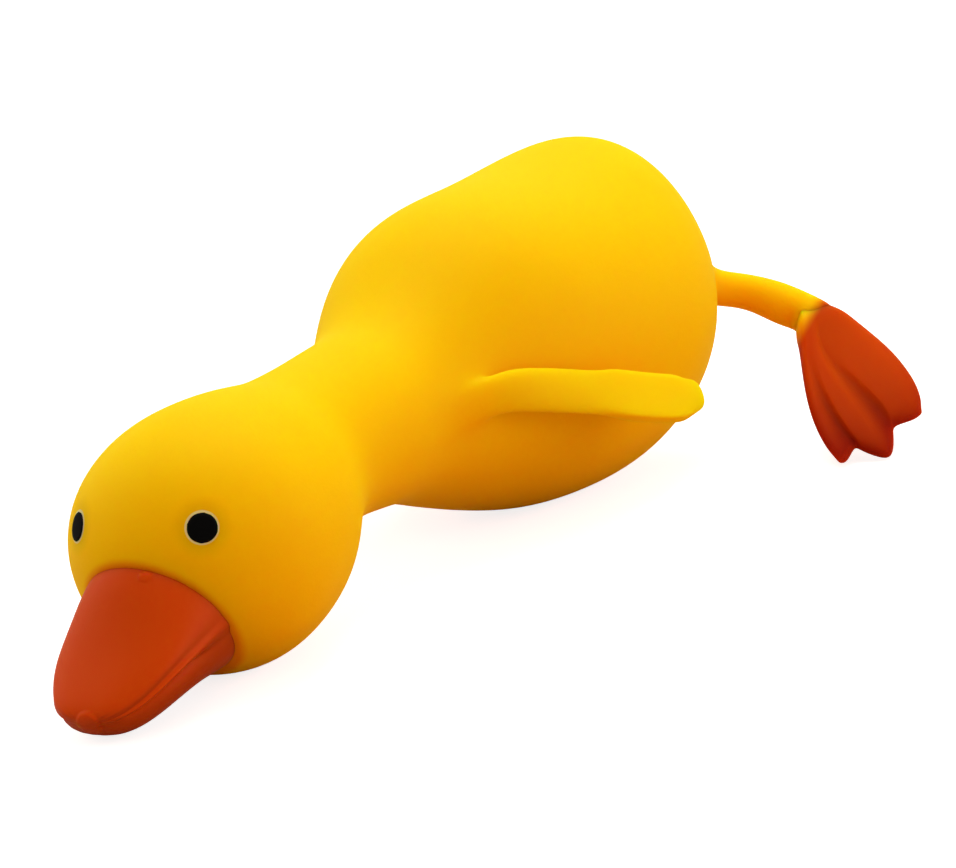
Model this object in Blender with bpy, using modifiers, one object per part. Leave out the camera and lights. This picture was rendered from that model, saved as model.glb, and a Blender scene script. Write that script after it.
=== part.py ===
"""A soft rubber toy duck for squeezing, lying on its belly and its chin with its toes near the table.

The duck faces -Y, its left side is +X and +Z is up. It rests on z = 0, and the origin is under the
middle of the box around it. The yellow body is one moulding with its wings and legs. The beak and the
webbed feet are moulded in orange rubber, and the eyes are flat black spots let into the skin.
"""

import math

import bmesh
import bpy
import numpy as np
from mathutils import Vector

MM = 0.001
GAP = 0.3 * MM

# Driving dimensions
HEAD_Y = -38.3 * MM
HEAD_Z = 15.2 * MM
HEAD_RADIUS = 16.0 * MM
RING_SIDES = 16
TABLE_BLOCK = 300 * MM

# The body from the front of the head to the rump, one line for each ring of the cage, in mm:
# distance behind the head's centre, half width, height of the underside, height of the top, and
# how many degrees the ring's top leans back
BODY_RINGS = (
    (-15.4, 4.9, 10.5, 19.7, 0),
    (-12.6, 10.4, 5.3, 24.5, 0),
    (-8.0, 14.4, 1.6, 27.9, 0),
    (-2.5, 16.1, 0.0, 29.8, 0),
    (3.0, 15.7, 0.5, 30.3, 0),
    (8.0, 14.3, 2.4, 30.1, 0),
    (12.5, 12.1, 5.6, 29.6, 0),
    (17.0, 10.7, 8.8, 29.6, 0),
    (23.0, 10.5, 9.7, 30.0, 0),
    (29.0, 10.8, 9.3, 30.6, 0),
    (34.5, 11.4, 8.5, 31.5, 0),
    (40.5, 13.5, 6.5, 34.4, 0),
    (47.0, 16.8, 4.2, 38.7, 0),
    (54.0, 20.0, 2.0, 41.9, 0),
    (61.5, 22.4, 0.3, 43.0, 2),
    (69.5, 24.0, -0.5, 43.4, 4),
    (77.5, 24.4, -0.4, 44.2, 6),
    (85.0, 23.2, 1.2, 45.2, 8),
    (91.0, 20.2, 3.7, 44.8, 9),
    (96.5, 15.9, 7.5, 41.3, 11),
    (100.2, 11.6, 12.8, 36.1, 12),
    (102.3, 6.1, 18.2, 29.6, 13),
)
NOSE_Y = -16.1
RUMP_Y = 103.0
RUMP_Z = 24.0

# The torso is narrower above than below: the share at the rump, the stretch over which it grows, and
# the height where the width stays as it is
PEAR = 0.12
PEAR_FROM = 72.0
PEAR_TO = 98.0
PEAR_HEIGHT = 22.0

# The four corners of a limb's section, as signs along its width and its thickness
SECTION_CORNERS = ((1, 1), (1, -1), (-1, -1), (-1, 1))

# A wing grows from the side between these two rings, and a leg between the two further back
WING_RINGS = (10, 11)
LEG_RINGS = (18, 19)

# Wing, left side: a thin paddle that twists from upright to leaning. One line for each section, in
# mm from the head's centre line and the table: its middle, width, thickness, and degrees that the
# blade leans in at the top
WING_STEPS = (
    ((15.5, 40.4, 21.4), 5.6, 2.4, 80),
    ((18.6, 45.2, 20.0), 6.2, 2.1, 66),
    ((22.0, 50.4, 18.4), 6.6, 1.9, 54),
    ((25.3, 55.5, 16.4), 7.1, 1.7, 47),
    ((27.8, 59.3, 15.1), 7.0, 1.6, 45),
    ((29.3, 61.7, 14.9), 6.0, 1.5, 45),
    ((30.3, 63.3, 14.9), 4.2, 1.2, 45),
)

# Leg, left side: points along its middle line, and its thickness there. It ends at the ankle, in a
# section as wide and as thick as the foot's start.
LEG_STEPS = (
    ((17.6, 94.0, 22.3), 5.4),
    ((20.9, 96.9, 21.3), 5.2),
    ((23.8, 98.4, 19.9), 5.7),
    ((26.6, 99.4, 18.2), 6.4),
)
ANKLE = Vector((29.1, 99.5, 16.4))
ANKLE_MIDDLE = 1.2
ANKLE_WIDTH = 7.6
ANKLE_THICKNESS = 6.0

# Foot, left side, in mm: where its middle toe points, and the direction across its web
MIDDLE_TOE = Vector((45.0, 84.2, 0.5))
FOOT_ACROSS = Vector((0.64, 0.76, 0.08))

# Rings of the foot's cage from the ankle to the toes, in mm across the foot: share of the way to the
# toes' ends, inner edge, first fold, second fold, outer edge, then the height of the toes above the
# middle of the web and the height at the bottom of the folds
FOOT_RINGS = (
    (0.0, -2.9, -1.5, 0.8, 5.4, 2.7, 2.7),
    (0.14, -3.5, -2.1, -0.1, 6.9, 2.4, 2.1),
    (0.30, -4.5, -3.1, -0.9, 8.6, 2.0, 1.1),
    (0.45, -5.5, -3.7, -0.2, 9.8, 1.7, 0.3),
    (0.60, -6.5, -3.9, 0.9, 10.2, 1.5, -0.1),
    (0.74, -7.1, -3.9, 2.0, 10.2, 1.4, -0.3),
    (0.88, -7.4, -3.6, 2.8, 9.6, 1.2, -0.4),
    (0.97, -7.1, -3.0, 2.7, 8.7, 0.8, -0.3),
)

# Reach of the inner edge, inner toe, first fold, middle toe's lip, its crest and its outer side,
# second fold, outer toe's lip, its crest, and the outer edge
REACHES = (26.2, 27.5, 24.0, 25.4, 28.1, 26.6, 22.8, 21.3, 22.6, 21.5)
LIP = 0.6
SOLE = 0.8
WELD = 0.01 * MM

# Beak: rings from inside the head to the tip. Each has the (y, z) of its top and of its underside,
# in mm from the head's centre line and from the table, its half width, and how round it is: 1 is a
# circle, as where it meets the head, and 0 has the form of the bill
BEAK_RINGS = (
    ((-12.0, 16.1), (-4.5, 3.6), 8.6, 1.0),
    ((-16.2, 16.7), (-7.2, 1.2), 9.1, 0.9),
    ((-19.6, 11.8), (-12.5, 2.5), 9.0, 0.3),
    ((-22.2, 8.6), (-17.5, 2.0), 8.2, 0),
    ((-24.8, 6.2), (-21.6, 0.6), 6.7, 0),
    ((-26.9, 4.3), (-25.0, 0.5), 4.4, 0),
)
BEAK_TIP_OUT = Vector((0, -1.0 * MM, -0.3 * MM))

# Half of a bill's ring, top to bottom, as shares of the half width and of the half height: the
# crown, the dip above the lip, the lip, the groove of the mouth, and the lower bill
BILL_HALF = (
    (0.0, 1.0),
    (0.36, 0.95),
    (0.70, 0.77),
    (0.93, 0.43),
    (1.0, 0.20),
    (0.99, 0.08),
    (1.06, 0.0),
    (1.05, -0.10),
    (0.88, -0.18),
    (0.97, -0.30),
    (0.88, -0.55),
    (0.58, -0.86),
    (0.28, -0.98),
    (0.0, -1.0),
)

# Eyes: a flat black disc on each side of the head
EYE_RADIUS = 1.65 * MM
EYE_THICKNESS = 0.6 * MM
EYE_OUT = math.radians(34)
EYE_UP = math.radians(17)

YELLOW = (0.96, 0.62, 0.0)
ORANGE = (0.60, 0.07, 0.0)
BLACK = (0.005, 0.005, 0.005)


def clear_scene():
    """Removes what the file holds, so that the script can be run again."""
    for item in list(bpy.data.objects):
        bpy.data.objects.remove(item, do_unlink=True)


def new_collection(name):
    """Makes a collection under the scene."""
    collection = bpy.data.collections.new(name)
    bpy.context.scene.collection.children.link(collection)
    return collection


def rubber(name, colour, roughness):
    """Makes the plain material of one moulding."""
    material = bpy.data.materials.new(name)
    material.use_nodes = True
    shader = material.node_tree.nodes["Principled BSDF"]
    shader.inputs["Base Color"].default_value = (*colour, 1)
    shader.inputs["Roughness"].default_value = roughness
    shader.inputs["Metallic"].default_value = 0
    return material


def place(x, y, z):
    """Turns millimetres from the head's centre line and the table into the row's frame."""
    return Vector((x * MM, HEAD_Y + y * MM, z * MM))


def new_cage():
    """Starts a cage whose edges can be kept sharp."""
    bm = bmesh.new()
    bm.edges.layers.float.new("crease_edge")
    return bm


def finish(bm, name, collection, material):
    """Makes an object of a finished cage."""
    bmesh.ops.recalc_face_normals(bm, faces=bm.faces)
    mesh = bpy.data.meshes.new(name)
    bm.to_mesh(mesh)
    bm.free()
    mesh.shade_smooth()
    item = bpy.data.objects.new(name, mesh)
    if material:
        item.data.materials.append(material)
    collection.objects.link(item)
    return item


def smooth(item, levels):
    """Rounds a cage off."""
    modifier = item.modifiers.new("smooth", "SUBSURF")
    modifier.levels = levels
    modifier.render_levels = levels


def boolean(item, other, operation):
    """Cuts an object with another, or joins the two."""
    modifier = item.modifiers.new(operation.lower(), "BOOLEAN")
    modifier.operation = operation
    modifier.solver = "EXACT"
    modifier.object = other


def hide(item):
    """Marks a cutter."""
    item.hide_render = True
    item.display_type = "WIRE"


def cage_through(values):
    """Moves a row of cage values out, so that the smoothed surface passes through the given ones."""
    count = len(values)
    weights = np.eye(count)
    for i in range(1, count - 1):
        weights[i, i - 1 : i + 2] = (1 / 6, 4 / 6, 1 / 6)
    return np.linalg.solve(weights, np.array(values, float))


def narrowing(y, z):
    """Tells how much narrower or wider than its ring the torso is at a height z."""
    grown = min(max((y - PEAR_FROM) / (PEAR_TO - PEAR_FROM), 0), 1)
    return 1 - PEAR * grown * (z - PEAR_HEIGHT) / PEAR_HEIGHT


def skin_rings(grow):
    """Gives the body's cage rings as lists of points, grown outwards by so many mm."""
    ring_pull = (2 + math.cos(2 * math.pi / RING_SIDES)) / 3
    halves = cage_through([ring[1] for ring in BODY_RINGS])
    lows = cage_through([ring[2] for ring in BODY_RINGS])
    highs = cage_through([ring[3] for ring in BODY_RINGS])
    rings = []
    for ring, half, low, high in zip(BODY_RINGS, halves, lows, highs):
        middle = (low + high) / 2
        half_height = (high - low) / 2
        lean = math.radians(ring[4])
        points = []
        for k in range(RING_SIDES):
            angle = (k + 0.5) * 2 * math.pi / RING_SIDES
            x = (half + grow) / ring_pull * math.cos(angle)
            up = (half_height + grow) / ring_pull * math.sin(angle)
            y = ring[0] + up * math.sin(lean)
            z = middle + up * math.cos(lean)
            points.append(place(x * narrowing(y, z), y, z))
        rings.append(points)
    return rings


def loft(bm, rings, first, last):
    """Joins rings of points into a skin closed by a fan at each end, and returns its faces by place."""
    loops = [[bm.verts.new(point) for point in ring] for ring in rings]
    faces = {}
    for i in range(len(loops) - 1):
        for k in range(len(loops[i])):
            n = (k + 1) % len(loops[i])
            corners = (loops[i][k], loops[i][n], loops[i + 1][n], loops[i + 1][k])
            faces[i, k] = bm.faces.new(corners)
    for loop, tip in ((loops[0], first), (loops[-1], last)):
        end = bm.verts.new(tip)
        for k in range(len(loop)):
            bm.faces.new((loop[k], loop[(k + 1) % len(loop)], end))
    return faces


def grow_limb(bm, face, steps):
    """Extrudes one face of the body along a limb, turning each section the shortest way round."""
    for centre, along_width, along_thick in steps:
        start = face.calc_center_median()
        section = [centre + along_width * w + along_thick * t for w, t in SECTION_CORNERS]
        turns = [section[k:] + section[:k] for k in range(4)]
        turns += [list(reversed(turn)) for turn in turns]
        corners = [vert.co - start for vert in face.verts]
        strains = [sum((c - p + centre).length for c, p in zip(corners, turn)) for turn in turns]
        best = turns[strains.index(min(strains))]
        made = bmesh.ops.extrude_discrete_faces(bm, faces=[face])
        face = made["faces"][0]
        for vert, spot in zip(face.verts, best):
            vert.co = spot
    return face


def wing_steps(side):
    """Gives the sections of a wing: middle, half a width and half a thickness."""
    points = [place(side * x, y, z) for (x, y, z), width, thick, lean in WING_STEPS]
    along = (points[-1] - points[0]).normalized()
    outward = along.cross(Vector((0, 0, 1))).normalized() * side
    upward = outward.cross(along).normalized() * side
    for point, (_, width, thick, degrees) in zip(points, WING_STEPS):
        lean = math.radians(degrees)
        across = outward * math.cos(lean) - upward * math.sin(lean)
        through = outward * math.sin(lean) + upward * math.cos(lean)
        yield point, across * width * MM / 2, through * thick * MM / 2


def leg_steps(side):
    """Gives the sections of a leg: square to its middle line, and the last one square to the foot."""
    ankle, foot_along, foot_across, foot_top = foot_frame(side)
    end = ankle + foot_across * ANKLE_MIDDLE * MM - foot_along * GAP
    points = [place(side * x, y, z) for (x, y, z), thick in LEG_STEPS] + [end]
    for i, (_, thick) in enumerate(LEG_STEPS):
        along = points[i + 1] - points[max(i - 1, 0)]
        outward = along.cross(Vector((0, 0, 1))).normalized() * side
        upward = outward.cross(along).normalized() * side
        yield points[i], outward * thick * MM / 2, upward * thick * MM / 2
    yield end, foot_across * ANKLE_WIDTH * MM / 2, foot_top * ANKLE_THICKNESS * MM / 2


def crease(bm, edges):
    """Keeps the rim of an end sharp, so that the end stays flat."""
    layer = bm.edges.layers.float["crease_edge"]
    for edge in edges:
        edge[layer] = 1


def build_body(collection, material):
    """The yellow moulding: head, neck, torso, two wings and two legs."""
    bm = new_cage()
    nose = place(0, NOSE_Y, HEAD_Z / MM)
    rump = place(0, RUMP_Y, RUMP_Z)
    faces = loft(bm, skin_rings(0), nose, rump)
    left = RING_SIDES - 1
    right = RING_SIDES // 2 - 1
    for side, column in ((1, left), (-1, right)):
        grow_limb(bm, faces[WING_RINGS[0], column], wing_steps(side))
        ankle = grow_limb(bm, faces[LEG_RINGS[0], column], leg_steps(side))
        crease(bm, ankle.edges)
    body = finish(bm, "body", collection, material)
    smooth(body, 1)
    return body


def build_seat_cutter(collection):
    """The body grown by the gap between pieces, which hollows the back of the beak."""
    bm = bmesh.new()
    grow = GAP / MM
    loft(bm, skin_rings(grow), place(0, NOSE_Y - grow, HEAD_Z / MM), place(0, RUMP_Y + grow, RUMP_Z))
    cutter = finish(bm, "beak_seat", collection, None)
    smooth(cutter, 1)
    hide(cutter)
    return cutter


def build_table_cutter(collection):
    """A block below the table, which gives what rests on it a flat."""
    bpy.ops.mesh.primitive_cube_add(size=TABLE_BLOCK, location=(0, 0, -TABLE_BLOCK / 2))
    cutter = bpy.context.active_object
    cutter.name = "table"
    hide(cutter)
    for owner in list(cutter.users_collection):
        owner.objects.unlink(cutter)
    collection.objects.link(cutter)
    return cutter


def build_beak(collection, material):
    """The orange bill: a broad spoon with the groove of the mouth along both sides."""
    bm = bmesh.new()
    half = BILL_HALF + tuple((-x, h) for x, h in reversed(BILL_HALF[1:-1]))
    rings = []
    for (top_y, top_z), (low_y, low_z), half_width, round_share in BEAK_RINGS:
        middle = Vector((0, (top_y + low_y) / 2, (top_z + low_z) / 2))
        up = Vector((0, (top_y - low_y) / 2, (top_z - low_z) / 2))
        points = []
        for x, h in half:
            far = 1 - round_share + round_share / math.hypot(x, h)
            spot = middle + up * h * far
            points.append(place(x * far * half_width, spot.y, spot.z))
        rings.append(points)
    first = sum(rings[0], Vector()) / len(rings[0])
    last = sum(rings[-1], Vector()) / len(rings[-1]) + BEAK_TIP_OUT
    loft(bm, rings, first, last)
    beak = finish(bm, "beak", collection, material)
    smooth(beak, 1)
    return beak


def foot_frame(side):
    """Gives the ankle and the foot's three directions: along it, across its web, and out of its top."""
    ankle = place(side * ANKLE.x, ANKLE.y, ANKLE.z)
    toe = place(side * MIDDLE_TOE.x, MIDDLE_TOE.y, MIDDLE_TOE.z)
    along = (toe - ankle).normalized()
    across = Vector((side * FOOT_ACROSS.x, FOOT_ACROSS.y, FOOT_ACROSS.z))
    across = (across - along * across.dot(along)).normalized()
    top = along.cross(across).normalized() * side
    return ankle, along, across, top


def foot_ring(side, ring, flat):
    """Gives one ring of the foot: its upper side from the inner edge out, then its sole back.

    flat is the share of its thickness that the ring keeps.
    """
    share, inner, first_fold, second_fold, outer, toe, fold = ring
    opened = min(max(1 - fold / toe, 0), 1)
    first_lip = first_fold + LIP
    second_lip = second_fold + LIP
    crest = (first_lip + second_fold) / 2
    upper = [
        ((inner * 2 + first_fold) / 3, toe * 0.75),
        (first_fold, fold),
        (first_lip, toe * (1 - 0.15 * opened)),
        (crest, toe),
        ((crest + second_fold) / 2, (toe + fold * 2) / 3),
        (second_fold, fold),
        (second_lip, toe * (1 - 0.05 * opened)),
        ((second_lip + outer * 2) / 3, toe),
    ]
    sole = [(a, -toe * SOLE) for a, t in reversed(upper)]
    outline = [(inner, 0)] + upper + [(outer, 0)] + sole
    reaches = REACHES + REACHES[-2:0:-1]
    ankle, along, across, top = foot_frame(side)
    return [
        ankle + (along * reach * share + across * a + top * t * flat) * MM
        for reach, (a, t) in zip(reaches, outline)
    ]


def build_foot(side, name, collection, material):
    """An orange webbed foot with three toes, hanging from the ankle down to the table."""
    rings = [foot_ring(side, ring, 1) for ring in FOOT_RINGS]
    rings.append(foot_ring(side, (1.0, *FOOT_RINGS[-1][1:]), 0))
    bm = new_cage()
    loops = [[bm.verts.new(point) for point in ring] for ring in rings]
    sides = len(loops[0])
    for i in range(len(loops) - 1):
        for k in range(sides):
            n = (k + 1) % sides
            bm.faces.new((loops[i][k], loops[i][n], loops[i + 1][n], loops[i + 1][k]))
    close_ankle(bm, loops[0])
    bmesh.ops.remove_doubles(bm, verts=loops[-1], dist=WELD)
    foot = finish(bm, name, collection, material)
    smooth(foot, 1)
    return foot


def close_ankle(bm, loop):
    """Closes a foot's start with faces that run from its upper side to its sole, and keeps it flat."""
    last = len(loop) - 1
    half = len(loop) // 2
    bm.faces.new((loop[0], loop[1], loop[last]))
    for k in range(1, half - 1):
        bm.faces.new((loop[k], loop[k + 1], loop[last - k], loop[last - k + 1]))
    bm.faces.new((loop[half - 1], loop[half], loop[half + 1]))
    crease(bm, [bm.edges.get((loop[k - 1], loop[k])) for k in range(len(loop))])


def eye_direction(side):
    """Gives the way an eye looks."""
    level = math.cos(EYE_UP)
    return Vector((side * math.sin(EYE_OUT) * level, -math.cos(EYE_OUT) * level, math.sin(EYE_UP)))


def build_disc(name, collection, material, side, radius, thickness, proud):
    """A round disc square to an eye's direction, its outer face so far from the head's round."""
    direction = eye_direction(side)
    centre = Vector((0, HEAD_Y, HEAD_Z))
    middle = centre + direction * (HEAD_RADIUS + proud - thickness / 2)
    bm = bmesh.new()
    bmesh.ops.create_cone(bm, cap_ends=True, segments=32, radius1=radius, radius2=radius, depth=thickness)
    bmesh.ops.transform(bm, matrix=direction.to_track_quat("Z", "Y").to_matrix().to_4x4(), verts=bm.verts)
    bmesh.ops.translate(bm, vec=middle, verts=bm.verts)
    disc = finish(bm, name, collection, material)
    disc.data.set_sharp_from_angle(angle=math.radians(40))
    return disc


def build_duck():
    """Makes every piece, then cuts the flats, the beak's seat and the eyes' sockets."""
    clear_scene()
    duck = new_collection("squishy_duck")
    cutters = new_collection("cutters")
    yellow = rubber("yellow_rubber", YELLOW, 0.55)
    orange = rubber("orange_rubber", ORANGE, 0.45)
    ink = rubber("black_ink", BLACK, 0.4)
    table = build_table_cutter(cutters)
    seat = build_seat_cutter(cutters)
    body = build_body(duck, yellow)
    beak = build_beak(duck, orange)
    boolean(beak, seat, "DIFFERENCE")
    for item in (body, beak):
        boolean(item, table, "DIFFERENCE")
    for side, word in ((1, "left"), (-1, "right")):
        build_foot(side, word + "_foot", duck, orange)
        build_disc(word + "_eye", duck, ink, side, EYE_RADIUS, EYE_THICKNESS, 0)
        socket_radius = EYE_RADIUS + GAP
        depth = EYE_THICKNESS + GAP
        reach = EYE_THICKNESS
        socket = build_disc(word + "_socket", cutters, None, side, socket_radius, depth + reach, reach)
        hide(socket)
        boolean(body, socket, "DIFFERENCE")


build_duck()
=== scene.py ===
"""A squishy rubber duck lying on its belly: the finish of its skin, beak, feet and eyes, and a plain
studio. Metres, +Z up, the duck faces -Y and its left side is +X."""

import math

import bmesh
import bpy
import numpy as np
from mathutils import Matrix, Vector


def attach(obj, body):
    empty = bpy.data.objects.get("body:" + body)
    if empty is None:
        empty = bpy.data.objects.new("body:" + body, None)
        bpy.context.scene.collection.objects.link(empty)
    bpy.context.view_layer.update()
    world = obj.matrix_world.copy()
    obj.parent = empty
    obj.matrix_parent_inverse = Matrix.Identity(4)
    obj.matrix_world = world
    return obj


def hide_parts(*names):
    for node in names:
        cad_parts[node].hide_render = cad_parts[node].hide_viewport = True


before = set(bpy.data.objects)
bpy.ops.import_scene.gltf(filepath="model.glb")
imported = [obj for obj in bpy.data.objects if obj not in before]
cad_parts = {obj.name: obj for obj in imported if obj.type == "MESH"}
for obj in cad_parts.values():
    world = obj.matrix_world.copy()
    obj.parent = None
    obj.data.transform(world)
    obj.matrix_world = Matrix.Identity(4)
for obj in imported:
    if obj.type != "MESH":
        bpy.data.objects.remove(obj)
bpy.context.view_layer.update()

# Body
# The duck is a squeeze toy moulded in soft thermoplastic rubber, with no seam. Head, neck, torso, wings
# and legs are one piece of yellow rubber, with a matt and powdery skin. Light goes a few millimetres
# into it.

MM = 0.001
HEAD = Vector((0, -38.3, 15.2)) * MM
HEAD_RADIUS = 16 * MM
RIM_CORNERS = 16
WELD = 0.01 * MM

# Rims of the cage from the forehead to the rump, in mm: distance behind the head's centre, half
# width, height of the underside, height of the top, and degrees that the rim's top leans back
BODY_RIMS = (
    (-15.4, 4.9, 10.5, 19.7, 0),
    (-12.6, 10.4, 5.3, 24.5, 0),
    (-8.0, 14.4, 1.6, 27.9, 0),
    (-2.5, 16.1, 0.0, 29.8, 0),
    (3.0, 15.7, 0.5, 30.3, 0),
    (8.0, 14.3, 2.4, 30.1, 0),
    (12.5, 12.1, 5.6, 29.6, 0),
    (17.0, 10.7, 8.8, 29.6, 0),
    (23.0, 10.5, 9.7, 30.0, 0),
    (29.0, 10.8, 9.3, 30.6, 0),
    (34.5, 11.4, 8.5, 31.5, 0),
    (40.5, 13.5, 6.5, 34.4, 0),
    (47.0, 16.8, 4.2, 38.7, 0),
    (54.0, 20.0, 2.0, 41.9, 0),
    (61.5, 22.4, 0.3, 43.0, 2),
    (69.5, 24.0, -0.5, 43.4, 4),
    (77.5, 24.4, -0.4, 44.2, 6),
    (85.0, 23.2, 1.2, 45.15, 8),
    (91.0, 20.2, 3.7, 44.8, 9),
    (96.5, 15.9, 7.5, 41.3, 11),
    (100.2, 11.6, 12.8, 36.1, 12),
    (102.3, 6.1, 18.2, 29.6, 13),
)
NOSE = Vector((0, -16.1, 15.2))
RUMP = Vector((0, 102.9, 24.0))

# The torso is narrower above than below: the share at the rump, the stretch over which it grows, and
# the height where the width stays as it is, in mm
PEAR = 0.12
PEAR_FROM = 72
PEAR_TO = 98
PEAR_HEIGHT = 22

# Wing, left side: a thin paddle that grows out of the side behind the neck and twists from upright
# to leaning. One line for each section, in mm: its middle, width, thickness, and degrees that the
# blade leans in at the top.
WING_ROOT_RIMS = (10, 11)
WING_SECTIONS = (
    ((15.5, 40.4, 21.4), 5.6, 2.4, 80),
    ((18.6, 45.2, 20.0), 6.2, 2.1, 66),
    ((22.0, 50.4, 18.4), 6.6, 1.9, 54),
    ((25.3, 55.5, 16.4), 7.1, 1.7, 47),
    ((27.8, 59.3, 15.1), 7.0, 1.6, 45),
    ((29.3, 61.7, 14.9), 6.0, 1.5, 45),
    ((30.3, 63.3, 14.9), 4.2, 1.2, 45),
)
WING_RIM_CREASE = 0.5
FIRST_CRISP_SECTION = 2

# Leg, left side: the middle of each section and its thickness, in mm. From the ankle on the leg
# narrows inside the foot: how far past the ankle, width and thickness.
LEG_ROOT_RIMS = (18, 19)
LEG_SECTIONS = (
    ((17.6, 94.0, 22.3), 5.4),
    ((20.9, 96.9, 21.3), 5.2),
    ((23.8, 98.4, 19.9), 5.7),
    ((26.6, 99.4, 18.2), 6.4),
)
ANKLE = Vector((29.1, 99.5, 16.4))
ANKLE_MIDDLE = 1.2
ANKLE_SECTIONS = ((0, 7.6, 6.0), (2.4, 6.4, 4.6), (4.4, 4.0, 2.6))
MIDDLE_TOE = Vector((45.0, 84.2, 0.5))
FOOT_ACROSS = Vector((0.64, 0.76, 0.08))

# The four corners of a limb's section, as signs along its width and its thickness
SECTION_CORNERS = ((1, 1), (1, -1), (-1, -1), (-1, 1))


def place(x, y, z):
    """Turns millimetres from the head's centre line and the table into the row's frame."""
    return Vector((x * MM, HEAD.y + y * MM, z * MM))


def cage_through(values):
    """Moves a row of cage values out, so that the smoothed skin passes through the given ones."""
    count = len(values)
    weights = np.eye(count)
    for i in range(1, count - 1):
        weights[i, i - 1 : i + 2] = (1 / 6, 4 / 6, 1 / 6)
    return np.linalg.solve(weights, np.array(values, float))


def start_piece(name):
    """Names the primitive just added and opens it in edit mode with its place in its mesh."""
    piece = bpy.context.active_object
    piece.name = name
    bpy.ops.object.transform_apply(location=True, rotation=True, scale=True)
    bpy.ops.object.mode_set(mode="EDIT")
    bpy.ops.mesh.select_all(action="SELECT")
    return piece


def turn_rim(degrees, middle):
    """Leans the selected rim's top back."""
    bpy.ops.transform.rotate(value=math.radians(degrees), orient_axis="X", center_override=middle)


def close_rim(tip):
    """Closes the selected rim with a fan of faces that meets in a point."""
    bpy.ops.mesh.extrude_edges_move()
    bpy.ops.mesh.merge(type="CENTER")
    cage = bmesh.from_edit_mesh(bpy.context.active_object.data)
    centre = next(v for v in cage.verts if v.select)
    bpy.ops.transform.translate(value=tip - centre.co)


def select_corners(piece, test):
    """Selects the corners of the cage that a test picks by their place."""
    bpy.ops.mesh.select_all(action="DESELECT")
    cage = bmesh.from_edit_mesh(piece.data)
    for corner in cage.verts:
        corner.select = test(corner.co)
    cage.select_flush(True)
    bmesh.update_edit_mesh(piece.data)


def select_face(piece, spot):
    """Selects the face of the cage whose middle is nearest to a place."""
    bpy.ops.mesh.select_all(action="DESELECT")
    cage = bmesh.from_edit_mesh(piece.data)
    face = min(cage.faces, key=lambda f: (f.calc_center_median() - spot).length)
    face.select = True
    bmesh.update_edit_mesh(piece.data)


def extrude_section(piece, section):
    """Extrudes the selected face and drags its four corners to the next section of a limb."""
    middle, half_width, half_thickness = section
    targets = [middle + half_width * w + half_thickness * t for w, t in SECTION_CORNERS]
    bpy.ops.mesh.extrude_region_move()
    cage = bmesh.from_edit_mesh(piece.data)
    face = next(f for f in cage.faces if f.select)
    corners = list(face.verts)
    turns = [targets[k:] + targets[:k] for k in range(4)]
    mirrored = [list(reversed(turn)) for turn in turns]
    centre = face.calc_center_median()

    def strain(order):
        """Tells how far the corners would have to turn to reach the targets in this order."""
        return sum(((v.co - centre) - (t - middle)).length for v, t in zip(corners, order))

    for corner, target in zip(corners, min(turns + mirrored, key=strain)):
        corner.co = target
    bmesh.update_edit_mesh(piece.data)
    return targets


def foot_frame(side):
    """Gives the ankle and the foot's three directions: along it, across its web, and out of its top."""
    ankle = place(side * ANKLE.x, ANKLE.y, ANKLE.z)
    toe = place(side * MIDDLE_TOE.x, MIDDLE_TOE.y, MIDDLE_TOE.z)
    along = (toe - ankle).normalized()
    across = Vector((side * FOOT_ACROSS.x, FOOT_ACROSS.y, FOOT_ACROSS.z))
    across = (across - along * across.dot(along)).normalized()
    top = along.cross(across).normalized() * side
    return ankle, along, across, top


half_widths = cage_through([rim[1] for rim in BODY_RIMS])
lows = cage_through([rim[2] for rim in BODY_RIMS])
highs = cage_through([rim[3] for rim in BODY_RIMS])
rim_pull = (2 + math.cos(2 * math.pi / RIM_CORNERS)) / 3
half_widths = half_widths / rim_pull
half_heights = (highs - lows) / 2 / rim_pull
middles = [place(0, rim[0], z) for rim, z in zip(BODY_RIMS, (lows + highs) / 2)]
leans = [rim[4] for rim in BODY_RIMS]

bpy.ops.object.select_all(action="DESELECT")
bpy.ops.mesh.primitive_circle_add(
    vertices=RIM_CORNERS, radius=MM, location=middles[0], rotation=(math.pi / 2, 0, 0)
)
body = start_piece("yellow_body")
half_step = math.pi / RIM_CORNERS
bpy.ops.transform.rotate(value=half_step, orient_axis="Y", center_override=middles[0])
bpy.ops.transform.resize(value=(half_widths[0], 1, half_heights[0]), center_override=middles[0])
for i in range(1, len(BODY_RIMS)):
    bpy.ops.mesh.extrude_edges_move()
    turn_rim(-leans[i - 1], middles[i - 1])
    growth = (half_widths[i] / half_widths[i - 1], 1, half_heights[i] / half_heights[i - 1])
    bpy.ops.transform.resize(value=growth, center_override=middles[i - 1])
    bpy.ops.transform.translate(value=middles[i] - middles[i - 1])
    turn_rim(leans[i], middles[i])
close_rim(place(*RUMP))
forehead_y = middles[0].y
select_corners(body, lambda spot: spot.y < forehead_y + WELD)
close_rim(place(*NOSE))
for corner in bmesh.from_edit_mesh(body.data).verts:
    behind = (corner.co.y - HEAD.y) / MM
    grown = min(max((behind - PEAR_FROM) / (PEAR_TO - PEAR_FROM), 0), 1)
    corner.co.x *= 1 - PEAR * grown * (corner.co.z / MM - PEAR_HEIGHT) / PEAR_HEIGHT
bmesh.update_edit_mesh(body.data)


def root_spot(rims, side):
    """Gives the middle of the cage's side face between two rims."""
    first, second = rims
    half_width = (half_widths[first] + half_widths[second]) / 2 * MM
    return (middles[first] + middles[second]) / 2 + Vector((side * half_width, 0, 0))


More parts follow.
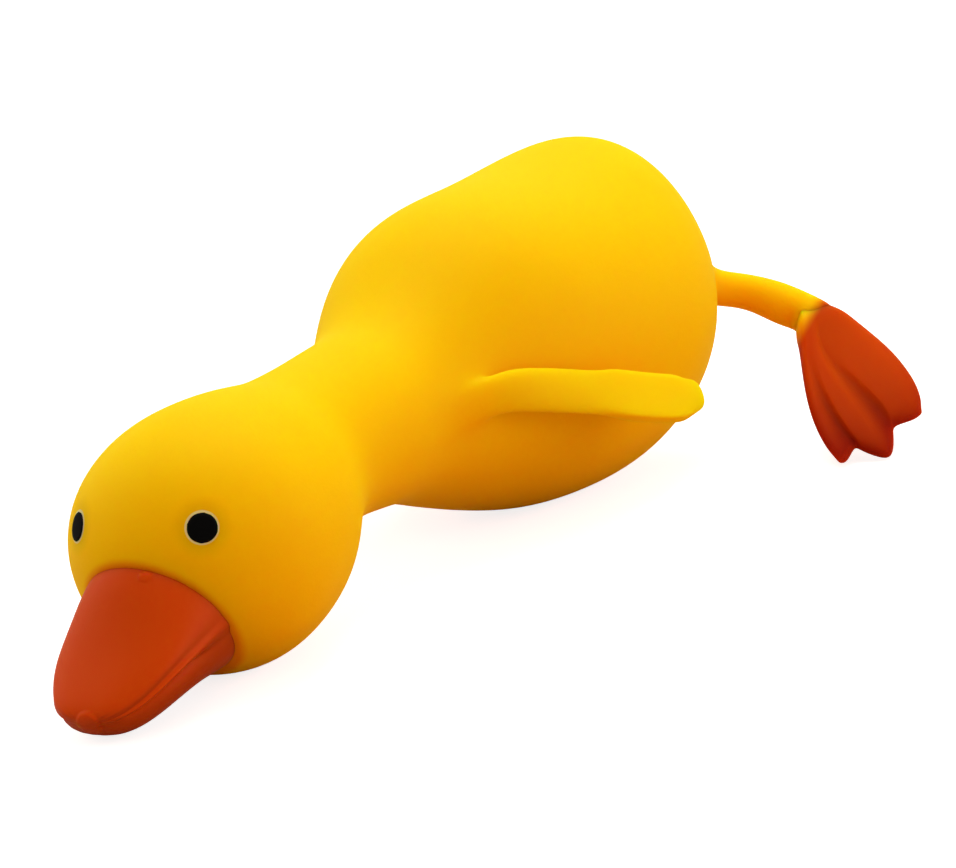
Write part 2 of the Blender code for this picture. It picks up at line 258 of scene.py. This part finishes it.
def wing_sections(side):
    """Gives the sections of a wing as a middle, half a width and half a thickness."""
    spots = [place(side * x, y, z) for (x, y, z), width, thick, lean in WING_SECTIONS]
    along = (spots[-1] - spots[0]).normalized()
    outward = along.cross(Vector((0, 0, 1))).normalized() * side
    upward = outward.cross(along).normalized() * side
    for spot, (_, width, thick, lean) in zip(spots, WING_SECTIONS):
        lean = math.radians(lean)
        across = outward * math.cos(lean) - upward * math.sin(lean)
        through = outward * math.sin(lean) + upward * math.cos(lean)
        yield spot, across * width * MM / 2, through * thick * MM / 2


def leg_sections(side):
    """Gives the sections of a leg: square to its middle line, and the last ones square to the foot."""
    ankle, foot_along, foot_across, foot_top = foot_frame(side)
    spots = [place(side * x, y, z) for (x, y, z), thick in LEG_SECTIONS]
    end = ankle + foot_across * ANKLE_MIDDLE * MM
    for i, (_, thick) in enumerate(LEG_SECTIONS):
        along = (spots + [end])[i + 1] - spots[max(i - 1, 0)]
        outward = along.cross(Vector((0, 0, 1))).normalized() * side
        upward = outward.cross(along).normalized() * side
        yield spots[i], outward * thick * MM / 2, upward * thick * MM / 2
    for past, width, thick in ANKLE_SECTIONS:
        yield end + foot_along * past * MM, foot_across * width * MM / 2, foot_top * thick * MM / 2


def crease_edges(piece, spots, amount):
    """Keeps the edges between these corners of the cage crisp."""
    bpy.ops.mesh.select_all(action="DESELECT")
    cage = bmesh.from_edit_mesh(piece.data)
    chosen = [v for v in cage.verts if any((v.co - spot).length < WELD for spot in spots)]
    for edge in cage.edges:
        edge.select = edge.verts[0] in chosen and edge.verts[1] in chosen
    bmesh.update_edit_mesh(piece.data)
    bpy.ops.transform.edge_crease(value=amount)


for side in (1, -1):
    select_face(body, root_spot(WING_ROOT_RIMS, side))
    made = [extrude_section(body, section) for section in wing_sections(side)]
    crisp = made[FIRST_CRISP_SECTION:-1]
    for corner in range(4):
        crease_edges(body, [section[corner] for section in crisp], WING_RIM_CREASE)

    select_face(body, root_spot(LEG_ROOT_RIMS, side))
    for section in leg_sections(side):
        extrude_section(body, section)

bpy.ops.mesh.select_all(action="SELECT")
bpy.ops.mesh.normals_make_consistent(inside=False)
bpy.ops.object.mode_set(mode="OBJECT")


def smooth_piece(piece, levels):
    """Rounds off a cage and shades it smooth."""
    bpy.context.view_layer.objects.active = piece
    modifier = piece.modifiers.new("smooth", "SUBSURF")
    modifier.levels = levels
    modifier.render_levels = levels
    bpy.ops.object.modifier_apply(modifier=modifier.name)
    piece.data.shade_smooth()


SKIN_LEVELS = 3
smooth_piece(body, SKIN_LEVELS)

# The belly is pressed flat where it lies on the table
bpy.ops.object.mode_set(mode="EDIT")
bpy.ops.mesh.select_all(action="SELECT")
bpy.ops.mesh.bisect(
    plane_co=(0, 0, 0), plane_no=(0, 0, 1), use_fill=True, clear_inner=True, threshold=WELD
)
bpy.ops.object.mode_set(mode="OBJECT")


def linear(hex_colour):
    """Turns an sRGB hex colour into linear light with an alpha of 1."""
    shares = [int(hex_colour[i : i + 2], 16) / 255 for i in (1, 3, 5)]
    return (*[s / 12.92 if s <= 0.04045 else ((s + 0.055) / 1.055) ** 2.4 for s in shares], 1)


def add_node(material, kind, inputs, output=0, **settings):
    """Adds a shader node with its settings and gives one of its outputs.

    An input is a value, or the output that feeds it.
    """
    made = material.node_tree.nodes.new(kind)
    for name, value in settings.items():
        setattr(made, name, value)
    for name, value in inputs.items():
        if isinstance(value, bpy.types.NodeSocket):
            material.node_tree.links.new(value, made.inputs[name])
        else:
            made.inputs[name].default_value = value
    return made.outputs[output]


def new_material(name):
    """Makes an empty material and gives it with its Principled shader."""
    material = bpy.data.materials.new(name)
    material.use_nodes = True
    return material, material.node_tree.nodes["Principled BSDF"]


# Thermoplastic rubber, cast in a matt mould and dusted with powder: almost no gloss, a fine grain, and
# deep scatter, in which red light goes further than yellow. The colour is painted from lemon where the
# skin faces up to amber where it faces sideways and down, as painted shade, with a faint mottle.
LEMON = "#FFC800"
PAINTED_SHADE_AMBER = "#FF9A00"
SCATTER_MM = (5.0, 3.0, 0.6)
FULL_SHADE_NORMAL_Z = -0.6
FULL_LIGHT_NORMAL_Z = 0.95
MOTTLE_MM = 6.0
MOTTLE_SHARE = 0.16
GRAIN_MM = 0.35
SKIN_GRAIN_HEIGHT_MM = 0.03

# Round the root of the beak the yellow is painted orange, as painted shade where head and beak meet, over
# the part of the head that lies within this angle of the way the beak points
BEAK_ROOT_SHADE_ORANGE = "#F07000"
BEAK_SLOPE = math.radians(30)
BEAK_LOOKS = Vector((0, -math.cos(BEAK_SLOPE), -math.sin(BEAK_SLOPE)))
BEAK_ROOT_SHADE_FROM = math.cos(math.radians(38.5))
BEAK_ROOT_SHADE_TO = math.cos(math.radians(33.5))

# The print of each eye has a thin cream rim, and the yellow round it is a little darker in a faint halo
CREAM = "#F0DC90"
HALO_YELLOW = "#F0B400"
EYE_RADIUS = 1.75 * MM
EYE_OUT = math.radians(34)
EYE_UP = math.radians(17)
LEFT_EYE_LOOKS = Vector(
    (math.sin(EYE_OUT) * math.cos(EYE_UP), -math.cos(EYE_OUT) * math.cos(EYE_UP), math.sin(EYE_UP))
)

# The yellow runs over into orange past the ankle, and the orange is painted a deeper red in the folds and
# towards the toes, as painted shade
FOOT_ORANGE = "#BC4000"
SHADED_TOE_RED = "#861600"
FOOT_SHADE_SHARE = 0.6
LEG_END_DIRECTION = (ANKLE - Vector(LEG_SECTIONS[-2][0])).normalized()

# Soft steps over the skin: the measure that each follows, where it is 0 and where it is 1
FADES = {
    "beak_root_facing": ("facing", BEAK_ROOT_SHADE_FROM, BEAK_ROOT_SHADE_TO),
    "on_head": ("from_head", 20.8 * MM, 18.4 * MM),
    "eye_halo": ("from_eye", 3.8 * MM, 2.1 * MM),
    "eye_rim": ("from_eye", 1.93 * MM, 1.8 * MM),
    "fold_shade": ("above_web", 1.4 * MM, 0),
    "toe_shade": ("along_foot", 6 * MM, 29 * MM),
    "past_ankle": ("past_leg", -0.7 * MM, 1.7 * MM),
    "beside_torso": ("sideways", 24.8 * MM, 25.6 * MM),
    "behind_wing": ("backward", 34 * MM, 38 * MM),
}

# Steps that are worked out from two others
JOINED_FADES = {
    "beak_root_shade": ("MULTIPLY", "beak_root_facing", "on_head"),
    "depth": ("ADD", "fold_shade", "toe_shade"),
    "on_foot": ("MULTIPLY", "beside_torso", "behind_wing"),
    "to_orange": ("MULTIPLY", "past_ankle", "on_foot"),
}


def powder_grain(material, shader, height_mm):
    """Roughens a skin with the grain of the mould and the powder."""
    skin = add_node(material, "ShaderNodeTexCoord", {}, "Object")
    inputs = {"Vector": skin, "Scale": 1 / (GRAIN_MM * MM), "Detail": 3.0}
    grain = add_node(material, "ShaderNodeTexNoise", inputs, "Fac")
    inputs = {"Height": grain, "Strength": 1.0, "Distance": height_mm * MM}
    bump = add_node(material, "ShaderNodeBump", inputs)
    material.node_tree.links.new(bump, shader.inputs["Normal"])


yellow_rubber, shader = new_material("yellow_thermoplastic_rubber")
skin = add_node(yellow_rubber, "ShaderNodeTexCoord", {}, "Object")
inputs = {"Vector": skin, "Scale": 1 / (MOTTLE_MM * MM), "Detail": 2.0}
mottle = add_node(yellow_rubber, "ShaderNodeTexNoise", inputs, "Fac")
# Painted shade: the height of the normal picks lemon on the upper side and amber on the sides and
# underside
normal = add_node(yellow_rubber, "ShaderNodeNewGeometry", {}, "Normal")
upward = add_node(yellow_rubber, "ShaderNodeSeparateXYZ", {0: normal}, "Z")
inputs = {0: mottle, 1: MOTTLE_SHARE, 2: upward}
upward = add_node(yellow_rubber, "ShaderNodeMath", inputs, operation="MULTIPLY_ADD")
inputs = {"Value": upward, "From Min": FULL_SHADE_NORMAL_Z, "From Max": FULL_LIGHT_NORMAL_Z}
painted_shade_and_mottle = add_node(yellow_rubber, "ShaderNodeMapRange", inputs)
inputs = {"Factor": painted_shade_and_mottle, 6: linear(PAINTED_SHADE_AMBER), 7: linear(LEMON)}
colour = add_node(yellow_rubber, "ShaderNodeMix", inputs, 2, data_type="RGBA")

# The right side is folded over onto the left, so that one set of measures serves both
parts = add_node(yellow_rubber, "ShaderNodeSeparateXYZ", {0: skin}).node.outputs
sideways = add_node(yellow_rubber, "ShaderNodeMath", {0: parts["X"]}, operation="ABSOLUTE")
inputs = {"X": sideways, "Y": parts["Y"], "Z": parts["Z"]}
spot = add_node(yellow_rubber, "ShaderNodeCombineXYZ", inputs)
measures = {"sideways": sideways, "backward": parts["Y"]}
for name, start in (("from_head", HEAD), ("from_eye", HEAD + LEFT_EYE_LOOKS * HEAD_RADIUS)):
    inputs = {0: spot, 1: start}
    measures[name] = add_node(yellow_rubber, "ShaderNodeVectorMath", inputs, "Value", operation="DISTANCE")
inputs = {0: spot, 1: HEAD}
arm = add_node(yellow_rubber, "ShaderNodeVectorMath", inputs, operation="SUBTRACT")
from_middle = add_node(yellow_rubber, "ShaderNodeVectorMath", {0: arm}, operation="NORMALIZE")
ankle, along, across, top = foot_frame(1)
inputs = {0: spot, 1: ankle}
from_ankle = add_node(yellow_rubber, "ShaderNodeVectorMath", inputs, operation="SUBTRACT")
for name, arm, direction in (
    ("facing", from_middle, BEAK_LOOKS),
    ("along_foot", from_ankle, along),
    ("above_web", from_ankle, top),
    ("past_leg", from_ankle, LEG_END_DIRECTION),
):
    inputs = {0: arm, 1: direction}
    measures[name] = add_node(
        yellow_rubber, "ShaderNodeVectorMath", inputs, "Value", operation="DOT_PRODUCT"
    )
shares = {}
for name, (measure, start, end) in FADES.items():
    inputs = {"Value": measures[measure], "From Min": start, "From Max": end}
    shares[name] = add_node(
        yellow_rubber, "ShaderNodeMapRange", inputs, interpolation_type="SMOOTHSTEP"
    )
for name, (operation, first, second) in JOINED_FADES.items():
    inputs = {0: shares[first], 1: shares[second]}
    shares[name] = add_node(yellow_rubber, "ShaderNodeMath", inputs, operation=operation)
# Painted shade on the feet: deeper red in the folds and towards the toes
inputs = {0: shares["depth"], 1: FOOT_SHADE_SHARE}
foot_shade_share = add_node(yellow_rubber, "ShaderNodeMath", inputs, operation="MULTIPLY")
inputs = {"Factor": foot_shade_share, 6: linear(FOOT_ORANGE), 7: linear(SHADED_TOE_RED)}
foot_colour = add_node(yellow_rubber, "ShaderNodeMix", inputs, 2, data_type="RGBA")
# Layers over the skin: painted shade round the beak's root, a darker halo and a cream rim round each eye,
# and the feet's orange with its painted shade
for name, layer in (
    ("beak_root_shade", linear(BEAK_ROOT_SHADE_ORANGE)),
    ("eye_halo", linear(HALO_YELLOW)),
    ("eye_rim", linear(CREAM)),
    ("to_orange", foot_colour),
):
    inputs = {"Factor": shares[name], 6: colour, 7: layer}
    colour = add_node(yellow_rubber, "ShaderNodeMix", inputs, 2, data_type="RGBA")
yellow_rubber.node_tree.links.new(colour, shader.inputs["Base Color"])
shader.inputs["Roughness"].default_value = 0.6
shader.inputs["Specular IOR Level"].default_value = 0.03
shader.inputs["Subsurface Weight"].default_value = 1.0
shader.inputs["Subsurface Radius"].default_value = [r * MM for r in SCATTER_MM]
shader.inputs["Subsurface Scale"].default_value = 1.0
powder_grain(yellow_rubber, shader, SKIN_GRAIN_HEIGHT_MM)
body.data.materials.append(yellow_rubber)
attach(body, "root")
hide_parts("body")

# Beak
# A broad spoon-shaped bill in the same soft rubber, coloured orange and joined to the yellow head in
# the mould. A raised lip and a groove under it mark the mouth.

# Rims from inside the head to the tip, in mm from the head's centre line and the table: (y, z) of its
# top and of its underside, its half width, how round it is, and how high the lip sits as a share of
# the half height. A round rim of 1 is a circle, as where it meets the head, and 0 has the bill's form.
BEAK_RIMS = (
    ((-12.0, 16.8), (-4.5, 3.6), 8.9, 1.0, 0),
    ((-16.1, 17.4), (-7.2, 1.2), 9.2, 0.85, 0),
    ((-19.6, 11.9), (-12.5, 2.4), 8.5, 0.3, 0.15),
    ((-22.2, 8.6), (-17.5, 1.8), 7.65, 0, 0.31),
    ((-24.7, 6.2), (-21.6, 0.5), 6.1, 0, 0.35),
    ((-26.6, 4.3), (-24.7, 0.4), 4.0, 0, 0.4),
)
BEAK_TIP_OUT = Vector((0, -0.8, -0.3)) * MM

# Half of a bill's rim, top to bottom, as shares of the half width and half height: the crown, the dip
# above the lip, the lip, the groove of the mouth, and the lower bill
BILL_HALF = (
    (0.0, 1.0),
    (0.36, 0.95),
    (0.70, 0.77),
    (0.93, 0.43),
    (1.0, 0.20),
    (0.99, 0.08),
    (1.06, 0.0),
    (1.05, -0.09),
    (0.91, -0.17),
    (0.98, -0.28),
    (1.0, -0.58),
    (0.78, -0.87),
    (0.40, -0.98),
    (0.0, -1.0),
)
GROOVE_COLUMN = 8
GROOVE_CREASE = 0.6
FIRST_BILL_RIM = 2


def beak_corners(rim):
    """Gives the corners of one rim of the beak, round from its top."""
    (top_y, top_z), (low_y, low_z), half_width, round_share, lip = rim
    middle = Vector((0, (top_y + low_y) / 2, (top_z + low_z) / 2))
    up = Vector((0, (top_y - low_y) / 2, (top_z - low_z) / 2))
    corners = []
    for x, h in BILL_HALF + tuple((-x, h) for x, h in reversed(BILL_HALF[1:-1])):
        far = 1 - round_share + round_share / math.hypot(x, h)
        spot = middle + up * (h + lip * (1 - h * h)) * far
        corners.append(place(x * far * half_width, spot.y, spot.z))
    return corners


def nearest_corners(corners, spots):
    """Gives the corner that is nearest to each place."""
    return [min(corners, key=lambda v: (v.co - spot).length) for spot in spots]


def set_rim(piece, old, new):
    """Moves the selected corners, which lie at the old places, to the new ones."""
    cage = bmesh.from_edit_mesh(piece.data)
    chosen = [v for v in cage.verts if v.select]
    for corner, spot in zip(nearest_corners(chosen, old), new):
        corner.co = spot
    bmesh.update_edit_mesh(piece.data)


def select_spots(piece, spots):
    """Selects the corners of the cage that lie at these places."""
    bpy.ops.mesh.select_all(action="DESELECT")
    cage = bmesh.from_edit_mesh(piece.data)
    for corner in nearest_corners(list(cage.verts), spots):
        corner.select = True
    cage.select_flush(True)
    bmesh.update_edit_mesh(piece.data)


def loft(name, rims):
    """Starts a piece with a circle and extrudes it from rim to rim."""
    bpy.ops.object.select_all(action="DESELECT")
    bpy.ops.mesh.primitive_circle_add(vertices=len(rims[0]), radius=MM)
    piece = start_piece(name)
    cage = bmesh.from_edit_mesh(piece.data)
    old = [v.co.copy() for v in cage.verts]
    set_rim(piece, old, rims[0])
    for before, after in zip(rims, rims[1:]):
        bpy.ops.mesh.extrude_edges_move()
        set_rim(piece, before, after)
    return piece


beak_rims = [beak_corners(rim) for rim in BEAK_RIMS]
beak = loft("orange_beak", beak_rims)
for column in (GROOVE_COLUMN, -GROOVE_COLUMN):
    crease_edges(beak, [rim[column] for rim in beak_rims[FIRST_BILL_RIM:]], GROOVE_CREASE)
select_spots(beak, beak_rims[-1])
close_rim(sum(beak_rims[-1], Vector()) / len(beak_rims[-1]) + BEAK_TIP_OUT)
select_spots(beak, beak_rims[0])
close_rim(sum(beak_rims[0], Vector()) / len(beak_rims[0]))
bpy.ops.mesh.select_all(action="SELECT")
bpy.ops.mesh.normals_make_consistent(inside=False)
bpy.ops.object.mode_set(mode="OBJECT")
BEAK_LEVELS = 4
smooth_piece(beak, BEAK_LEVELS)


# Marks on the beak, in mm: middle, radii, and how far each stands out. The nail is a low oval at the
# tip, and the mould left a pit in the groove and a burr at the crown.
BEAK_MARKS = (
    ((0.5, -26.9, 2.4), (1.7, 2.0, 1.9), 0.2),
    ((7.8, -18.9, 6.3), (0.5, 0.5, 0.4), -0.25),
    ((2.8, -16.2, 15.5), (0.9, 0.5, 0.4), 0.25),
)
MARK_EDGE = 0.2

for middle, radii, height_mm in BEAK_MARKS:
    group = beak.vertex_groups.new(name="mark")
    for corner in beak.data.vertices:
        arm = (corner.co - place(*middle)) / MM
        reach = math.sqrt(sum((a / r) ** 2 for a, r in zip(arm, radii)))
        share = min(max((1 - reach) / MARK_EDGE, 0), 1)
        group.add([corner.index], share, "REPLACE")
    mark = beak.modifiers.new("mark", "DISPLACE")
    mark.vertex_group = group.name
    mark.mid_level = 0
    mark.strength = height_mm * MM
    bpy.ops.object.modifier_apply(modifier=mark.name)
    beak.vertex_groups.clear()

# The same rubber in orange, from a smoother mould: a soft satin shine, and less scatter than yellow.
# It is painted a deeper orange where the sides turn down, as painted shade.
ORANGE = "#C84200"
SHADED_BEAK_ORANGE = "#A83400"
ORANGE_SCATTER_MM = (3.0, 0.8, 0.3)
BEAK_GRAIN_HEIGHT_MM = 0.012

orange_rubber, shader = new_material("orange_thermoplastic_rubber")
# Painted shade: the beak's colour runs to a deeper orange as its normal turns down
normal = add_node(orange_rubber, "ShaderNodeNewGeometry", {}, "Normal")
upward = add_node(orange_rubber, "ShaderNodeSeparateXYZ", {0: normal}, "Z")
inputs = {"Value": upward, "From Min": 0.4, "From Max": -0.3}
painted_beak_shade = add_node(
    orange_rubber, "ShaderNodeMapRange", inputs, interpolation_type="SMOOTHSTEP"
)
inputs = {"Factor": painted_beak_shade, 6: linear(ORANGE), 7: linear(SHADED_BEAK_ORANGE)}
colour = add_node(orange_rubber, "ShaderNodeMix", inputs, 2, data_type="RGBA")
orange_rubber.node_tree.links.new(colour, shader.inputs["Base Color"])
shader.inputs["Roughness"].default_value = 0.42
shader.inputs["Specular IOR Level"].default_value = 0.05
shader.inputs["Subsurface Weight"].default_value = 0.6
shader.inputs["Subsurface Radius"].default_value = [r * MM for r in ORANGE_SCATTER_MM]
shader.inputs["Subsurface Scale"].default_value = 1.0
powder_grain(orange_rubber, shader, BEAK_GRAIN_HEIGHT_MM)
beak.data.materials.append(orange_rubber)
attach(beak, "root")
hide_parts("beak")

# Feet
# Each foot is orange rubber, moulded round the end of its yellow leg. It slopes down from the ankle,
# with three webbed toes that end just above the table.

# Rims of the foot's cage from inside the ankle to the toes, in mm across the foot: share of the way to the
# toes' ends, inner edge, first fold, second fold, outer edge, then the height of the toes above the
# middle of the web and the height at the bottom of the folds
FOOT_RIMS = (
    (-0.04, -1.2, -0.6, 0.8, 3.6, 1.7, 1.7),
    (0.02, -1.7, -1.1, 0.8, 4.6, 2.3, 2.3),
    (0.08, -2.4, -1.6, 0.6, 6.0, 2.7, 2.7),
    (0.16, -2.9, -1.9, -0.1, 7.1, 2.4, 2.3),
    (0.30, -4.1, -3.0, -0.9, 8.7, 2.0, 1.7),
    (0.45, -5.4, -3.7, -0.2, 9.8, 1.7, 1.1),
    (0.60, -6.5, -3.9, 0.9, 10.2, 1.5, 0.7),
    (0.74, -7.1, -3.9, 2.0, 10.2, 1.4, 0.4),
    (0.88, -7.2, -3.6, 2.8, 9.6, 1.2, 0.2),
    (0.97, -6.7, -3.0, 2.7, 8.6, 0.8, 0.1),
)
# Reach of the inner edge, inner toe, first fold, middle toe's lip, its crest and its outer side,
# second fold, outer toe's lip, its crest, and the outer edge
REACHES = (26.0, 27.3, 24.0, 25.4, 28.0, 26.8, 24.0, 22.2, 22.4, 20.8)
LIP = 0.5
LIP_COLUMNS = (3, 7)
LIP_CREASE = 0.45
FIRST_CREASED_RIM = 5
SOLE = 0.8

# Heights as shares of the toes' height: the inner toe, and how far each lip drops where its fold opens
INNER_TOE = 0.75
FIRST_LIP_DROP = 0.15
SECOND_LIP_DROP = 0.05


def foot_corners(side, rim, flat=1.0):
    """Gives the corners of one rim of a foot: its upper side from inside out, then the sole back."""
    share, inner, fold_1, fold_2, outer, toe, fold = rim
    opened = min(max(1 - fold / toe, 0), 1)
    lip_1 = fold_1 + LIP
    lip_2 = fold_2 + LIP
    crest = (lip_1 + fold_2) / 2
    upper = [
        ((inner * 2 + fold_1) / 3, toe * INNER_TOE),
        (fold_1, fold),
        (lip_1, toe * (1 - FIRST_LIP_DROP * opened)),
        (crest, toe),
        ((crest + fold_2) / 2, (toe + fold * 2) / 3),
        (fold_2, fold),
        (lip_2, toe * (1 - SECOND_LIP_DROP * opened)),
        ((lip_2 + outer * 2) / 3, toe),
    ]
    top_side = [(a, t * flat) for a, t in upper]
    sole_side = [(a, -toe * SOLE * flat) for a, t in upper]
    outline = [(inner, 0)] + top_side + [(outer, 0)] + list(reversed(sole_side))
    columns = list(range(len(REACHES))) + list(range(len(REACHES) - 2, 0, -1))
    ankle, along, across, top = foot_frame(side)
    return [
        ankle + (along * REACHES[column] * share + across * a + top * t) * MM
        for column, (a, t) in zip(columns, outline)
    ]


# The rubber of the legs again, because its colours run on over the ankle
foot_rubber = yellow_rubber.copy()
foot_rubber.name = "orange_matt_thermoplastic_rubber"

for side, word in ((1, "left"), (-1, "right")):
    rims = [foot_corners(side, rim) for rim in FOOT_RIMS]
    toe_ends = (1.0, *FOOT_RIMS[-1][1:])
    rims.append(foot_corners(side, toe_ends, flat=0))
    foot = loft(word + "_orange_foot", rims)
    bpy.ops.mesh.select_all(action="SELECT")
    bpy.ops.mesh.remove_doubles(threshold=WELD)
    select_spots(foot, rims[0])
    close_rim(sum(rims[0], Vector()) / len(rims[0]))
    for column in LIP_COLUMNS:
        crease_edges(foot, [rim[column] for rim in rims[FIRST_CREASED_RIM:]], LIP_CREASE)
    bpy.ops.mesh.select_all(action="SELECT")
    bpy.ops.mesh.normals_make_consistent(inside=False)
    bpy.ops.object.mode_set(mode="OBJECT")
    smooth_piece(foot, SKIN_LEVELS)
    foot.data.materials.append(foot_rubber)
    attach(foot, "root")
    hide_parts(word + "_foot")

# Eyes
# Each eye is a round spot of matt black ink, printed on the side of the head with a thin pale rim. The
# flat spot is laid on the round of the head, and its edge goes a little way into the skin.

INK = "#060606"
INK_STANDS_OUT = 0.06 * MM
INK_THICKNESS = 0.18 * MM
EYE_CORNERS = 48
EYE_INSETS = 3
START_OFF_SKIN = 1 * MM

black_ink, shader = new_material("matt_black_printing_ink")
shader.inputs["Base Color"].default_value = linear(INK)
shader.inputs["Roughness"].default_value = 0.7
shader.inputs["Specular IOR Level"].default_value = 0.03

for side, word in ((1, "left"), (-1, "right")):
    looks = LEFT_EYE_LOOKS * Vector((side, 1, 1))
    bpy.ops.object.select_all(action="DESELECT")
    bpy.ops.mesh.primitive_circle_add(
        vertices=EYE_CORNERS,
        radius=EYE_RADIUS,
        fill_type="NGON",
        location=HEAD + looks * (HEAD_RADIUS + START_OFF_SKIN),
        rotation=looks.to_track_quat("Z", "Y").to_euler(),
    )
    eye = start_piece(word + "_black_eye")
    for _ in range(EYE_INSETS):
        bpy.ops.mesh.inset(thickness=EYE_RADIUS / (EYE_INSETS + 1))
    bpy.ops.object.mode_set(mode="OBJECT")
    wrap = eye.modifiers.new("wrap", "SHRINKWRAP")
    wrap.target = body
    wrap.offset = INK_STANDS_OUT
    bpy.ops.object.modifier_apply(modifier=wrap.name)
    solid = eye.modifiers.new("thickness", "SOLIDIFY")
    solid.thickness = INK_THICKNESS
    solid.offset = -1
    bpy.ops.object.modifier_apply(modifier=solid.name)
    eye.data.shade_smooth()
    eye.data.materials.append(black_ink)
    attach(eye, "root")
    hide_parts(word + "_eye")

# Studio
# A pale floor that runs to white, a large soft lamp overhead and one at each side, and a camera in
# front of the duck, above its left side.

FLOOR_SIZE = 6
PALE_PAPER = "#D2D2D2"
PAPER_BACK_LIGHT = 0.8
ROOM_LIGHT = 0.64
ROOM_COLOUR = "#FFF0DC"
CAMERA_PLACE = Vector((0.1700, -0.2506, 0.0813))
CAMERA_BACK = Vector((0.52094, -0.82630, 0.21410))
CAMERA_UP = Vector((0.01182, 0.25778, 0.96613))
SENSOR_WIDTH = 36
PHOTO_WIDTH = 956
FOCAL_PIXELS = 2500

bpy.ops.object.select_all(action="DESELECT")
bpy.ops.mesh.primitive_plane_add(size=FLOOR_SIZE)
floor = bpy.context.active_object
floor.name = "floor"
# A pale paper sweep. The camera also sees it lit from behind, so that it runs to white and only the
# duck's shadow stays on it.
paper, shader = new_material("pale_paper_sweep")
seen = add_node(paper, "ShaderNodeLightPath", {}, "Is Camera Ray")
inputs = {0: seen, 1: PAPER_BACK_LIGHT}
back_light = add_node(paper, "ShaderNodeMath", inputs, operation="MULTIPLY")
shader.inputs["Base Color"].default_value = linear(PALE_PAPER)
shader.inputs["Roughness"].default_value = 0.9
shader.inputs["Specular IOR Level"].default_value = 0.0
shader.inputs["Emission Color"].default_value = (1, 1, 1, 1)
paper.node_tree.links.new(back_light, shader.inputs["Emission Strength"])
floor.data.materials.append(paper)

world = bpy.data.worlds.new("white_studio")
bpy.context.scene.world = world
world.use_nodes = True
background = world.node_tree.nodes["Background"]
seen = add_node(world, "ShaderNodeLightPath", {}, "Is Camera Ray")
inputs = {"Factor": seen, 6: linear(ROOM_COLOUR), 7: (1, 1, 1, 1)}
room_colour = add_node(world, "ShaderNodeMix", inputs, 2, data_type="RGBA")
world.node_tree.links.new(room_colour, background.inputs["Color"])
inputs = {"Value": seen, "To Min": ROOM_LIGHT, "To Max": 1.0}
room_light = add_node(world, "ShaderNodeMapRange", inputs)
world.node_tree.links.new(room_light, background.inputs["Strength"])

AREA_LAMPS = (
    ("overhead_softbox", (-0.05, 0.18, 0.6), 0.5, 2.0),
    ("left_side_softbox", (0.5, 0.12, 0.14), 0.35, 0.9),
    ("right_side_softbox", (-0.45, -0.1, 0.3), 0.4, 0.45),
)
for name, spot, size, power in AREA_LAMPS:
    lamp = bpy.data.lights.new(name, "AREA")
    lamp.size = size
    lamp.energy = power
    lamp_object = bpy.data.objects.new(name, lamp)
    lamp_object.location = spot
    lamp_object.rotation_euler = (Vector(spot)).to_track_quat("Z", "Y").to_euler()
    bpy.context.scene.collection.objects.link(lamp_object)

camera_data = bpy.data.cameras.new("camera")
camera_data.sensor_width = SENSOR_WIDTH
camera_data.lens = FOCAL_PIXELS * SENSOR_WIDTH / PHOTO_WIDTH
camera = bpy.data.objects.new("camera", camera_data)
right = CAMERA_UP.cross(CAMERA_BACK)
axes = Matrix((right, CAMERA_UP, CAMERA_BACK)).transposed()
camera.matrix_world = Matrix.LocRotScale(CAMERA_PLACE, axes.to_quaternion(), None)
bpy.context.scene.collection.objects.link(camera)
bpy.context.scene.camera = camera
bpy.context.scene.view_settings.view_transform = "Standard"
